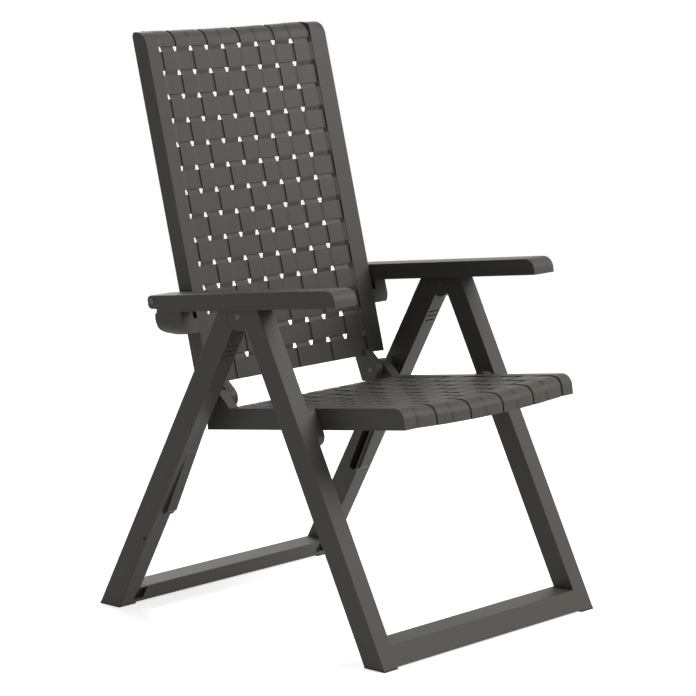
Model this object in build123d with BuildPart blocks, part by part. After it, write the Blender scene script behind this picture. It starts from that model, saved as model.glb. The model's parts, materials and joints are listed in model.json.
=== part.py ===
from build123d import *
from math import cos, degrees, radians, sin
import os

os.makedirs("parts", exist_ok=True)

# Reclining and folding garden armchair, moulded in satin resin.
# X runs across the chair, -Y is the front, +Z is up, floor at Z 0, origin below the middle.
# Angles are in degrees. Side-view points are pairs (Y, Z).

# Fits and cuts
RUNNING_FIT = 0.05        # radial clearance of pins in their holes
SEAT_FIT = 0.1            # clearance round inserts in their pockets
OVERRUN = 40.0            # how far cuts run past what they cut

# Frames: two U frames whose legs cross at the top pivot
FRAME_HALF_WIDTH = 295.5
LEG_THICKNESS = 37.5
TOP_PIVOT_Y = -7.0
TOP_PIVOT_Z = 584.0
FRAME_BOTTOM = 3.5        # underside of both crossbars, carried by the feet
EDGE_ROUND = 1.5

FRONT_LEG_LEAN = 26.57
FRONT_LEG_DEPTH = 42.0
FRONT_LEG_SET = 9.8       # rear edge of the front leg ahead of the top pivot
FRONT_BAR_TOP = 39.0

REAR_LEG_LEAN = 28.3
REAR_LEG_DEPTH = 45.8
REAR_LEG_SET = 1.2        # front edge of the rear leg ahead of the top pivot
REAR_BAR_TOP = 36.0
REAR_TOP_SLOPE = 14.3     # fall of the cut at the top of the rear leg
REAR_TOP_RISE = 18.0      # height of that cut above the top pivot

# Forked head of the front leg and tongue of the rear leg
HEAD_RADIUS = 25.0
HEAD_GAP = 0.6
HEAD_TOP = 22.0           # flat of the head above the top pivot
CHEEK = 12.4
LANE_CLEARANCE = 0.3
TONGUE_RADIUS = 14.5
NECK_RADIUS = 26.6
LANE_RADIUS = 27.0
FRAME_PIN_RADIUS = 5.0
LOCKING_PIN_RADIUS = 5.0
LOCKING_PIN_RISE = 21.0   # above the top pivot, square to the armrest

# Feet under the leg ends
FRONT_FOOT_WIDTH = 35.0
REAR_FOOT_WIDTH = 42.0
FOOT_INSET = 0.5
FOOT_PLUG_RADIUS = 5.0
FOOT_PLUG_HEIGHT = 12.0

# Three short vents across the front face of each rear leg
VENT_COUNT = 3
VENT_LENGTH = 28.0
VENT_WIDTH = 3.0
VENT_PITCH = 10.2
VENT_DEPTH = 6.0
VENT_DROP = 76.0          # middle vent below the top pivot, along the leg

# Seat: a tray with a rolled front, pivoted on the front legs
SEAT_SIDE_GAP = 23.4      # between the seat and each front leg
SEAT_PIVOT_Y = -128.0
SEAT_PIVOT_Z = 411.0
SEAT_TILT = 7.32
SEAT_TOP = 15.2           # top face above the seat pivot
SEAT_RIM = 38.7           # depth of the side rails
SEAT_FRONT = 220.0        # reach ahead of the seat pivot
SEAT_REAR = 212.0         # reach behind it
SEAT_NOSE = 22.0
SEAT_PLATE = 8.0
SEAT_SIDE_WALL = 20.0
SEAT_END_WALL = 8.0
SEAT_PIN_RADIUS = 6.0
SEAT_PIN_DEPTH = 14.0     # reach of the pin into the leg
SEAT_BUSH_WALL = 3.0
SEAT_BOSS_GAP = 1.4       # between the seat and the boss on the front leg
SEAT_BOSS_RADIUS = 19.0
SEAT_BOSS_LENGTH = 35.0   # run of the boss down the leg

# Square lattice of holes shared by the back panel and the seat
COLUMN_EDGE = 4.93        # middle of the outer columns from the side rails
HOLE_PITCH = 44.4
HOLE_WIDTH = 10.0
HOLE_LENGTH = 10.5
HOLE_COLUMNS = 10
BACK_ROWS = 14
SEAT_ROWS = 9
SEAT_FIRST_ROW = 172.0    # ahead of the seat pivot

# Hinge between seat and backrest, whose pin also runs in the guide slots
HINGE_Y = 111.0
HINGE_Z = 411.0
HINGE_PIN_RADIUS = 4.0
KNUCKLE_RADIUS = 21.0
KNUCKLE_BEHIND = 4.0      # centre of the rounding behind the hinge pin
KNUCKLE_WIDTH = 20.0
KNUCKLE_HEEL = 30.0       # rear corner of the knuckle from the hinge pin
KNUCKLE_HEEL_ANGLE = -49.0
LUG_THICKNESS = 22.6
LUG_GAP = 1.0
LUG_RADIUS = 19.0
LUG_ROOT = 12.0           # how far the lug reaches forward into the seat rail
LUG_TAIL = 50.0           # how far its foot reaches behind the seat
ROLLER_RADIUS = 6.0
ROLLER_LENGTH = 15.0

# Guide rail let into the inner face of each rear leg
SLOT_LENGTH = 233.0
SLOT_SLOPE = 25.1         # from upright
SLOT_HALF_WIDTH = 8.3
SLOT_DEPTH = 24.0
GUIDE_FLOOR = 3.0
GUIDE_PROUD = 6.0         # lip round the slot, proud of the leg
GUIDE_STEP = 3.5          # rim beside the lip, proud of the leg
GUIDE_LIP = 4.0           # width of the lip round the slot
GUIDE_FRONT = 17.5        # front of the rail from the slot line
GUIDE_REAR = 14.0
GUIDE_HEAD = 14.0
GUIDE_TAIL = 13.0
GUIDE_BEVEL_LONG = 19.0
GUIDE_BEVEL_WIDE = 13.5
GUIDE_CORNER = 5.0

# Backrest
BACK_SIDE_GAP = 18.0      # between the backrest and the inner faces of the legs
BACK_LEAN = 14.21
LATTICE_TOP_Y = 293.0     # first row of holes, middle of the panel
LATTICE_TOP_Z = 1035.4
BACK_RAIL_WIDTH = 35.0
BACK_RAIL_DEPTH = 33.5
BACK_RAIL_AHEAD = 24.2    # rail front ahead of the lattice plane in the middle
BACK_RAIL_BOTTOM = 443.0
RAIL_INNER_AHEAD = 17.5   # inner edge of the rail front ahead of the lattice plane
BACK_TOP = 1071.0
BACK_TOP_ROUND = 28.0
BACK_TOP_REAR_ROUND = 8.0
PANEL_AHEAD = 1.5
PANEL_BEHIND = 2.5
PANEL_HOLLOW = 13.8       # sweep of the panel, forward at its outer columns
PANEL_BOTTOM = 434.0
PANEL_LAP = 5.0           # reach of the panel into the side rails
ROLL_DEPTH = 34.0         # waterfall roll at the top, from the panel front
ROLL_DROP = 36.0
ROLL_WALL = 4.0
ROLL_SAG = 3.6            # middle of the roll below the tops of the rails

# Armrest: a channel open underneath, pivoted on the ear of the backrest
ARM_PROUD = 8.0           # outer side of the armrest outside the frames
ARM_WIDTH = 59.0
ARM_WALL = 4.5
ARM_TILT = 6.8
ARM_TOP = 10.6            # above the armrest pivot, square to the armrest
ARM_CEILING = 7.3
ARM_BOTTOM = 20.2
ARM_PIVOT_Y = 200.0
ARM_PIVOT_Z = 592.0
ARM_TIP = 449.0
ARM_TIP_ROUND = 22.0
ARM_TIP_WALL = 5.0
ARM_REAR = 13.0
ARM_REAR_BOTTOM = 14.5
ARM_REAR_ROUND = 9.0
ARM_STEP_START = 8.0
ARM_STEP_END = 26.0
ARM_EDGE_ROUND = 3.0
ARM_PIN_RADIUS = 3.0
ARM_PIN_HEAD_RADIUS = 5.5
ARM_PIN_HEAD = 1.0
ARM_PIN_GAP = 0.3         # between the head and the side of the armrest
ARM_BUSH_WALL = 1.5

# Ear on each side of the backrest
EAR_OUTER_GAP = 23.5      # ear inside the outer side of the armrest
EAR_LANE_GAP = 5.5        # inner face of the part that enters the armrest, from its inner side
EAR_AHEAD = 12.0          # centre of the rounding ahead of the armrest pivot
EAR_BELOW = 32.0
EAR_RADIUS = 33.0
EAR_BOSS_RADIUS = 7.0
EAR_BOSS_ANGLE = 110.0    # where the front edge of the ear meets the boss
EAR_NECK_ANGLE = 131.0    # run of the neck below the boss, clockwise from the rear
EAR_NECK_RUN = 17.0
EAR_SHOULDER = 5.0        # rear shoulder above the rounding centre
EAR_NOTCH = 8.0
EAR_NOTCH_RISE = 7.0
EAR_ROUND = 7.0
EAR_RIM_START = 255.0     # rounded rim, from below the centre round to the shoulder
EAR_RIM_ARC = 116.0
EAR_FRONT_BOTTOM = 26.0   # lower front corner below the rounding centre
EAR_FRONT_TOP = 20.0      # upper front corner above it
EAR_SWEEP_GAP = 1.6
RECLINE_TURN = 18.5       # how far the armrest turns down on its ear at full recline

# Notched rack under the top of the armrest
RACK_START = 190.0
RACK_END = 308.0
RACK_GAP = 0.4            # between the rack and the locking pin below it
RACK_WIDTH = 30.0
NOTCH_DEPTH = 4.0
NOTCH_FIT = 0.3
NOTCH_2 = 23.9            # each further notch from the first one, along the armrest
NOTCH_3 = 46.9
NOTCH_4 = 68.9
NOTCH_5 = 89.8

# Derived places
LEG_INNER = FRAME_HALF_WIDTH - LEG_THICKNESS
LEG_MIDDLE = FRAME_HALF_WIDTH - LEG_THICKNESS / 2
LANE_IN = LEG_INNER + CHEEK
LANE_OUT = FRAME_HALF_WIDTH - CHEEK
ARM_OUT = FRAME_HALF_WIDTH + ARM_PROUD
ARM_IN = ARM_OUT - ARM_WIDTH
EAR_OUT = ARM_OUT - EAR_OUTER_GAP
EAR_LANE_IN = ARM_IN + EAR_LANE_GAP
SEAT_HALF_WIDTH = LEG_INNER - SEAT_SIDE_GAP
KNUCKLE_OUT = SEAT_HALF_WIDTH - LUG_THICKNESS - LUG_GAP
KNUCKLE_IN = KNUCKLE_OUT - KNUCKLE_WIDTH
BACK_HALF_WIDTH = LEG_INNER - BACK_SIDE_GAP
HOLE_PITCH_X = 2 * (BACK_HALF_WIDTH - BACK_RAIL_WIDTH - COLUMN_EDGE) / (HOLE_COLUMNS - 1)
TOP_PIVOT = (TOP_PIVOT_Y, TOP_PIVOT_Z)
SEAT_PIVOT = (SEAT_PIVOT_Y, SEAT_PIVOT_Z)
HINGE = (HINGE_Y, HINGE_Z)
ARM_PIVOT = (ARM_PIVOT_Y, ARM_PIVOT_Z)
EAR_CENTRE = (ARM_PIVOT_Y - EAR_AHEAD, ARM_PIVOT_Z - EAR_BELOW)
OUTER_COLUMN = (HOLE_COLUMNS - 1) / 2 * HOLE_PITCH_X


def leg_point(lean, side, down, behind):
    """Point of a leg, down it from the top pivot and square to it."""
    s, c = sin(radians(lean)), cos(radians(lean))
    return (TOP_PIVOT_Y + down * side * s + behind * c, TOP_PIVOT_Z - down * c + behind * side * s)


def leg_at_height(lean, side, behind, z):
    """Point of a line of a leg at height z, that line being so far behind the top pivot."""
    s, c = sin(radians(lean)), cos(radians(lean))
    return leg_point(lean, side, (TOP_PIVOT_Z - z + behind * side * s) / c, behind)


def tilted_point(origin, tilt, ahead, up):
    """Point ahead of and above an origin, in a frame whose front is tilted up."""
    s, c = sin(radians(tilt)), cos(radians(tilt))
    return (origin[0] - ahead * c + up * s, origin[1] + ahead * s + up * c)


def arm_point(along, up):
    """Point of the armrest, from its pivot towards the tip and square to it."""
    return tilted_point(ARM_PIVOT, ARM_TILT, along, up)


def seat_point(ahead, up):
    """Point of the seat, ahead of and above its pivot."""
    return tilted_point(SEAT_PIVOT, SEAT_TILT, ahead, up)


def slot_point(along, behind):
    """Point of the guide rail, down the slot from the hinge and square to it."""
    s, c = sin(radians(SLOT_SLOPE)), cos(radians(SLOT_SLOPE))
    return (HINGE_Y + along * s + behind * c, HINGE_Z - along * c + behind * s)


def back_point(up, behind):
    """Point of the backrest, up from the first row of holes and behind the lattice plane."""
    s, c = sin(radians(BACK_LEAN)), cos(radians(BACK_LEAN))
    return (LATTICE_TOP_Y + up * s + behind * c, LATTICE_TOP_Z + up * c - behind * s)


def back_at_height(z, behind):
    """Point of the backrest at height z, so far behind the lattice plane."""
    s, c = sin(radians(BACK_LEAN)), cos(radians(BACK_LEAN))
    return back_point((z - LATTICE_TOP_Z + behind * s) / c, behind)


def polar(centre, radius, angle):
    """Point at a radius and an angle, counted from the rear upwards."""
    return (centre[0] + radius * cos(radians(angle)), centre[1] + radius * sin(radians(angle)))


def nearest(sketch, point):
    """Corner of a side-view sketch nearest to a side-view point."""
    return sketch.vertices().sort_by_distance((*point, 0))[0]


LOCKING_PIN = polar(TOP_PIVOT, LOCKING_PIN_RISE, 90 - ARM_TILT)
LOCKING_PIN_DROP = (
    (ARM_PIVOT_Z - LOCKING_PIN[1]) * cos(radians(ARM_TILT))
    + (ARM_PIVOT_Y - LOCKING_PIN[0]) * sin(radians(ARM_TILT))
)
LOCKING_PIN_ALONG = (
    (ARM_PIVOT_Y - LOCKING_PIN[0]) * cos(radians(ARM_TILT))
    - (ARM_PIVOT_Z - LOCKING_PIN[1]) * sin(radians(ARM_TILT))
)
NOTCHES = [LOCKING_PIN_ALONG + step for step in (0, NOTCH_2, NOTCH_3, NOTCH_4, NOTCH_5)]
RACK_UNDERSIDE = LOCKING_PIN_DROP - LOCKING_PIN_RADIUS - RACK_GAP

# Front frame: both front legs, the crossbar, the forked heads and the seat bosses
front_edge = -FRONT_LEG_SET - FRONT_LEG_DEPTH
head_flat = Plane(
    origin=(0, *polar(TOP_PIVOT, HEAD_TOP, 90 - ARM_TILT)),
    x_dir=(1, 0, 0),
    z_dir=(0, sin(radians(ARM_TILT)), cos(radians(ARM_TILT))),
)
with BuildPart() as front_frame:
    with BuildSketch(Plane.YZ.offset(-FRAME_HALF_WIDTH)):
        with BuildLine():
            Polyline(
                leg_at_height(FRONT_LEG_LEAN, -1, front_edge, FRAME_BOTTOM),
                leg_at_height(FRONT_LEG_LEAN, -1, front_edge, TOP_PIVOT_Z + OVERRUN),
                leg_at_height(FRONT_LEG_LEAN, -1, -FRONT_LEG_SET, TOP_PIVOT_Z + OVERRUN),
                leg_at_height(FRONT_LEG_LEAN, -1, -FRONT_LEG_SET, FRAME_BOTTOM),
                close=True,
            )
        make_face()
        with Locations(TOP_PIVOT):
            Circle(HEAD_RADIUS)
    extrude(amount=2 * FRAME_HALF_WIDTH)
    # Flat tops of the heads, parallel to the armrests at rest
    split(bisect_by=head_flat, keep=Keep.BOTTOM)
    # Long outer edges of the legs
    long_edges = front_frame.edges().filter_by(
        lambda e: e.length > TOP_PIVOT_Z / 2 and e.bounding_box().size.X < EDGE_ROUND
    )
    fillet(long_edges, EDGE_ROUND)
    # The space between the legs, above the crossbar
    with BuildSketch(Plane.YZ.offset(-LEG_INNER)):
        with Locations((TOP_PIVOT_Y, FRONT_BAR_TOP)):
            Rectangle(2 * TOP_PIVOT_Z, 2 * TOP_PIVOT_Z, align=(Align.CENTER, Align.MIN))
    extrude(amount=2 * LEG_INNER, mode=Mode.SUBTRACT)
    for side in (1, -1):
        # Boss that carries the seat, running a little down the leg
        with BuildSketch(Plane.YZ.offset(side * LEG_INNER)):
            with Locations(polar(SEAT_PIVOT, SEAT_BOSS_LENGTH / 2, 270 - FRONT_LEG_LEAN)):
                SlotCenterToCenter(SEAT_BOSS_LENGTH, 2 * SEAT_BOSS_RADIUS, rotation=90 - FRONT_LEG_LEAN)
        extrude(amount=-side * (LEG_INNER - SEAT_HALF_WIDTH - SEAT_BOSS_GAP))
        # Blind hole for the seat pivot pin
        with BuildSketch(Plane.YZ.offset(side * SEAT_HALF_WIDTH)):
            with Locations(SEAT_PIVOT):
                Circle(SEAT_PIN_RADIUS + RUNNING_FIT)
        extrude(amount=side * (LEG_INNER + SEAT_PIN_DEPTH - SEAT_HALF_WIDTH), mode=Mode.SUBTRACT)
        # Lane between the cheeks of the head
        with BuildSketch(Plane.YZ.offset(side * LANE_IN)):
            with Locations(TOP_PIVOT):
                Circle(LANE_RADIUS)
        extrude(amount=side * (LANE_OUT - LANE_IN), mode=Mode.SUBTRACT)
        # Socket for the plug of the foot
        foot_middle = leg_at_height(
            FRONT_LEG_LEAN, -1, -FRONT_LEG_SET - FRONT_LEG_DEPTH / 2, FRAME_BOTTOM + FOOT_PLUG_HEIGHT / 2
        )
        with BuildSketch(Plane.XY.offset(FRAME_BOTTOM)):
            with Locations((side * (FRAME_HALF_WIDTH - FOOT_INSET - FRONT_FOOT_WIDTH / 2), foot_middle[0])):
                Circle(FOOT_PLUG_RADIUS + RUNNING_FIT)
        extrude(amount=FOOT_PLUG_HEIGHT, mode=Mode.SUBTRACT)
    # Cross holes of the frame pins and the locking pins
    with BuildSketch(Plane.YZ.offset(-FRAME_HALF_WIDTH)):
        with Locations(TOP_PIVOT):
            Circle(FRAME_PIN_RADIUS + RUNNING_FIT)
        with Locations(LOCKING_PIN):
            Circle(LOCKING_PIN_RADIUS + RUNNING_FIT)
    extrude(amount=2 * FRAME_HALF_WIDTH, mode=Mode.SUBTRACT)
front_frame.part.label = "front_frame"
export_step(front_frame.part, "parts/front_frame.step")

# Outline of the guide rails, with a bevelled lower front corner
guide_end = SLOT_LENGTH + GUIDE_TAIL
guide_outline = [
    slot_point(-GUIDE_HEAD, GUIDE_REAR),
    slot_point(-GUIDE_HEAD, -GUIDE_FRONT),
    slot_point(guide_end - GUIDE_BEVEL_LONG, -GUIDE_FRONT),
    slot_point(guide_end, GUIDE_BEVEL_WIDE - GUIDE_FRONT),
    slot_point(guide_end, GUIDE_REAR),
]
guide_back = LEG_INNER - GUIDE_PROUD + SLOT_DEPTH + GUIDE_FLOOR

# Rear frame: both rear legs, the crossbar and the tongues at the top
rear_edge = REAR_LEG_DEPTH - REAR_LEG_SET
rear_cut = Plane(
    origin=(0, TOP_PIVOT_Y, TOP_PIVOT_Z + REAR_TOP_RISE),
    x_dir=(1, 0, 0),
    z_dir=(0, sin(radians(REAR_TOP_SLOPE)), cos(radians(REAR_TOP_SLOPE))),
)
with BuildPart() as rear_frame:
    with BuildSketch(Plane.YZ.offset(-FRAME_HALF_WIDTH)):
        with BuildLine():
            Polyline(
                leg_at_height(REAR_LEG_LEAN, 1, -REAR_LEG_SET, FRAME_BOTTOM),
                leg_at_height(REAR_LEG_LEAN, 1, -REAR_LEG_SET, TOP_PIVOT_Z + OVERRUN),
                leg_at_height(REAR_LEG_LEAN, 1, rear_edge, TOP_PIVOT_Z + OVERRUN),
                leg_at_height(REAR_LEG_LEAN, 1, rear_edge, FRAME_BOTTOM),
                close=True,
            )
        make_face()
    extrude(amount=2 * FRAME_HALF_WIDTH)
    split(bisect_by=rear_cut, keep=Keep.BOTTOM)
    long_edges = rear_frame.edges().filter_by(
        lambda e: e.length > TOP_PIVOT_Z / 2 and e.bounding_box().size.X < EDGE_ROUND
    )
    fillet(long_edges, EDGE_ROUND)
    with BuildSketch(Plane.YZ.offset(-LEG_INNER)):
        with Locations((TOP_PIVOT_Y, REAR_BAR_TOP)):
            Rectangle(2 * TOP_PIVOT_Z, 2 * TOP_PIVOT_Z, align=(Align.CENTER, Align.MIN))
    extrude(amount=2 * LEG_INNER, mode=Mode.SUBTRACT)
    # Hollow that clears the head of the front leg
    with BuildSketch(Plane.YZ.offset(-FRAME_HALF_WIDTH)):
        with Locations(TOP_PIVOT):
            Circle(HEAD_RADIUS + HEAD_GAP)
    extrude(amount=2 * FRAME_HALF_WIDTH, mode=Mode.SUBTRACT)
    for side in (1, -1):
        # Tongue between the cheeks of the head
        with BuildSketch(Plane.YZ.offset(side * (LANE_IN + LANE_CLEARANCE))):
            with BuildLine():
                Polyline(
                    leg_point(REAR_LEG_LEAN, 1, 0, -REAR_LEG_SET),
                    leg_point(REAR_LEG_LEAN, 1, 0, rear_edge),
                    leg_point(REAR_LEG_LEAN, 1, OVERRUN, rear_edge),
                    leg_point(REAR_LEG_LEAN, 1, OVERRUN, -REAR_LEG_SET),
                    close=True,
                )
            make_face()
            with Locations(TOP_PIVOT):
                Circle(NECK_RADIUS, mode=Mode.INTERSECT)
                Circle(TONGUE_RADIUS)
        extrude(amount=side * (LANE_OUT - LANE_IN - 2 * LANE_CLEARANCE))
        # Pocket of the guide rail
        with BuildSketch(Plane.YZ.offset(side * LEG_INNER)):
            with BuildLine():
                Polyline(*guide_outline, close=True)
            make_face()
            offset(amount=SEAT_FIT)
        extrude(amount=side * (guide_back + SEAT_FIT - LEG_INNER), mode=Mode.SUBTRACT)
        # Vents across the front face
        vent_plane = Plane(
            origin=(side * LEG_MIDDLE, *leg_point(REAR_LEG_LEAN, 1, VENT_DROP, -REAR_LEG_SET)),
            x_dir=(1, 0, 0),
            z_dir=(0, -cos(radians(REAR_LEG_LEAN)), -sin(radians(REAR_LEG_LEAN))),
        )
        with BuildSketch(vent_plane):
            with GridLocations(VENT_LENGTH, VENT_PITCH, 1, VENT_COUNT):
                Rectangle(VENT_LENGTH, VENT_WIDTH)
        extrude(amount=-VENT_DEPTH, mode=Mode.SUBTRACT)
        # Socket for the plug of the foot
        foot_middle = leg_at_height(
            REAR_LEG_LEAN, 1, REAR_LEG_DEPTH / 2 - REAR_LEG_SET, FRAME_BOTTOM + FOOT_PLUG_HEIGHT / 2
        )
        with BuildSketch(Plane.XY.offset(FRAME_BOTTOM)):
            with Locations((side * (FRAME_HALF_WIDTH - FOOT_INSET - REAR_FOOT_WIDTH / 2), foot_middle[0])):
                Circle(FOOT_PLUG_RADIUS + RUNNING_FIT)
        extrude(amount=FOOT_PLUG_HEIGHT, mode=Mode.SUBTRACT)
    with BuildSketch(Plane.YZ.offset(-FRAME_HALF_WIDTH)):
        with Locations(TOP_PIVOT):
            Circle(FRAME_PIN_RADIUS + RUNNING_FIT)
    extrude(amount=2 * FRAME_HALF_WIDTH, mode=Mode.SUBTRACT)
rear_frame.part.label = "rear_frame"
export_step(rear_frame.part, "parts/rear_frame.step")

# Guide rail with its blind slot, in which the hinge roller runs
with BuildPart() as guide_rail_right:
    with BuildSketch(Plane.YZ.offset(LEG_INNER - GUIDE_STEP)) as guide_side:
        with BuildLine():
            Polyline(*guide_outline, close=True)
        make_face()
        fillet(
            [nearest(guide_side, corner) for corner in guide_outline[2:4]],
            GUIDE_CORNER,
        )
    extrude(amount=guide_back - LEG_INNER + GUIDE_STEP)
    with BuildSketch(Plane.YZ.offset(LEG_INNER - GUIDE_PROUD)):
        with Locations(slot_point(SLOT_LENGTH / 2, 0)):
            SlotCenterToCenter(
                SLOT_LENGTH, 2 * (SLOT_HALF_WIDTH + GUIDE_LIP), rotation=SLOT_SLOPE - 90
            )
    extrude(amount=GUIDE_PROUD)
    with BuildSketch(Plane.YZ.offset(LEG_INNER - GUIDE_PROUD)):
        with Locations(slot_point(SLOT_LENGTH / 2, 0)):
            SlotCenterToCenter(SLOT_LENGTH, 2 * SLOT_HALF_WIDTH, rotation=SLOT_SLOPE - 90)
    extrude(amount=SLOT_DEPTH, mode=Mode.SUBTRACT)
guide_rail_right.part.label = "guide_rail_right"
export_step(guide_rail_right.part, "parts/guide_rail_right.step")

with BuildPart() as guide_rail_left:
    mirror(guide_rail_right.part, about=Plane.YZ)
guide_rail_left.part.label = "guide_rail_left"
export_step(guide_rail_left.part, "parts/guide_rail_left.step")

# Feet, shaped like the ends of the legs, each with a plug
with BuildPart() as front_foot_right:
    with BuildSketch(Plane.YZ.offset(FRAME_HALF_WIDTH - FOOT_INSET - FRONT_FOOT_WIDTH)):
        with BuildLine():
            Polyline(
                leg_at_height(FRONT_LEG_LEAN, -1, front_edge, 0),
                leg_at_height(FRONT_LEG_LEAN, -1, front_edge, FRAME_BOTTOM),
                leg_at_height(FRONT_LEG_LEAN, -1, -FRONT_LEG_SET, FRAME_BOTTOM),
                leg_at_height(FRONT_LEG_LEAN, -1, -FRONT_LEG_SET, 0),
                close=True,
            )
        make_face()
    extrude(amount=FRONT_FOOT_WIDTH)
    plug_y = leg_at_height(
        FRONT_LEG_LEAN, -1, -FRONT_LEG_SET - FRONT_LEG_DEPTH / 2, FRAME_BOTTOM + FOOT_PLUG_HEIGHT / 2
    )[0]
    with BuildSketch(Plane.XY.offset(FRAME_BOTTOM)):
        with Locations((FRAME_HALF_WIDTH - FOOT_INSET - FRONT_FOOT_WIDTH / 2, plug_y)):
            Circle(FOOT_PLUG_RADIUS)
    extrude(amount=FOOT_PLUG_HEIGHT - SEAT_FIT)
front_foot_right.part.label = "front_foot_right"
export_step(front_foot_right.part, "parts/front_foot_right.step")

with BuildPart() as front_foot_left:
    mirror(front_foot_right.part, about=Plane.YZ)
front_foot_left.part.label = "front_foot_left"
export_step(front_foot_left.part, "parts/front_foot_left.step")

with BuildPart() as rear_foot_right:
    with BuildSketch(Plane.YZ.offset(FRAME_HALF_WIDTH - FOOT_INSET - REAR_FOOT_WIDTH)):
        with BuildLine():
            Polyline(
                leg_at_height(REAR_LEG_LEAN, 1, -REAR_LEG_SET, 0),
                leg_at_height(REAR_LEG_LEAN, 1, -REAR_LEG_SET, FRAME_BOTTOM),
                leg_at_height(REAR_LEG_LEAN, 1, rear_edge, FRAME_BOTTOM),
                leg_at_height(REAR_LEG_LEAN, 1, rear_edge, 0),
                close=True,
            )
        make_face()
    extrude(amount=REAR_FOOT_WIDTH)
    plug_y = leg_at_height(
        REAR_LEG_LEAN, 1, REAR_LEG_DEPTH / 2 - REAR_LEG_SET, FRAME_BOTTOM + FOOT_PLUG_HEIGHT / 2
    )[0]
    with BuildSketch(Plane.XY.offset(FRAME_BOTTOM)):
        with Locations((FRAME_HALF_WIDTH - FOOT_INSET - REAR_FOOT_WIDTH / 2, plug_y)):
            Circle(FOOT_PLUG_RADIUS)
    extrude(amount=FOOT_PLUG_HEIGHT - SEAT_FIT)
rear_foot_right.part.label = "rear_foot_right"
export_step(rear_foot_right.part, "parts/rear_foot_right.step")

with BuildPart() as rear_foot_left:
    mirror(rear_foot_right.part, about=Plane.YZ)
rear_foot_left.part.label = "rear_foot_left"
export_step(rear_foot_left.part, "parts/rear_foot_left.step")

# Pins that join the frames, through both cheeks and the tongue
with BuildPart() as frame_pin_right:
    with BuildSketch(Plane.YZ.offset(LEG_INNER)):
        with Locations(TOP_PIVOT):
            Circle(FRAME_PIN_RADIUS)
    extrude(amount=LEG_THICKNESS)
frame_pin_right.part.label = "frame_pin_right"
export_step(frame_pin_right.part, "parts/frame_pin_right.step")

with BuildPart() as frame_pin_left:
    mirror(frame_pin_right.part, about=Plane.YZ)
frame_pin_left.part.label = "frame_pin_left"
export_step(frame_pin_left.part, "parts/frame_pin_left.step")

# Locking pins on the heads, which the notches of the armrests drop onto
with BuildPart() as locking_pin_right:
    with BuildSketch(Plane.YZ.offset(LEG_INNER)):
        with Locations(LOCKING_PIN):
            Circle(LOCKING_PIN_RADIUS)
    extrude(amount=LEG_THICKNESS)
locking_pin_right.part.label = "locking_pin_right"
export_step(locking_pin_right.part, "parts/locking_pin_right.step")

with BuildPart() as locking_pin_left:
    mirror(locking_pin_right.part, about=Plane.YZ)
locking_pin_left.part.label = "locking_pin_left"
export_step(locking_pin_left.part, "parts/locking_pin_left.step")

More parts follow.
